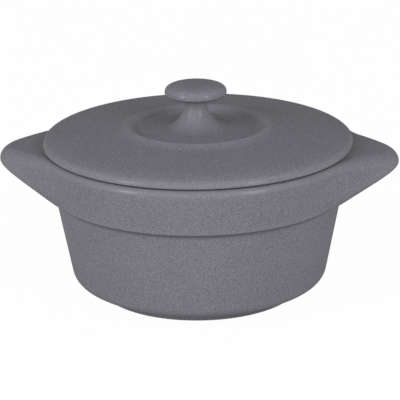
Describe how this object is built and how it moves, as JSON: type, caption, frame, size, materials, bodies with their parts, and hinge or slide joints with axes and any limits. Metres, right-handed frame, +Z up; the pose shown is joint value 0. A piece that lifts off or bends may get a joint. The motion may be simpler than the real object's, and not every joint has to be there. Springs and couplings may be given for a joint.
{
  "type": "lidded mini pot",
  "caption": "Small round stoneware pot with a stepped collar, flared side ears and a foot ring, with a lift-off lid that has a raised ring and a mushroom knob.",
  "frame": {"origin": "middle of the foot ring's lower face, on the surface that the pot stands on", "axes": "+X towards the right ear, +Y to the back, +Z up along the axis of the pot and the lid"},
  "size_m": [0.1288, 0.1008, 0.0684],
  "materials": {
    "glaze": "satin mid-grey glaze with a fine speckle, bare clay under the foot ring"
  },
  "bodies": {
    "pot": {"pot_bowl": "glaze", "ear_left": "glaze", "ear_right": "glaze"},
    "lid": {"lid_disc": "glaze", "lid_knob": "glaze"}
  },
  "joints": [
    {"name": "lid_lift", "type": "slide", "parent": "pot", "child": "lid", "axis": [0, 0, 1], "range_m": [0, 0.06]}
  ]
}
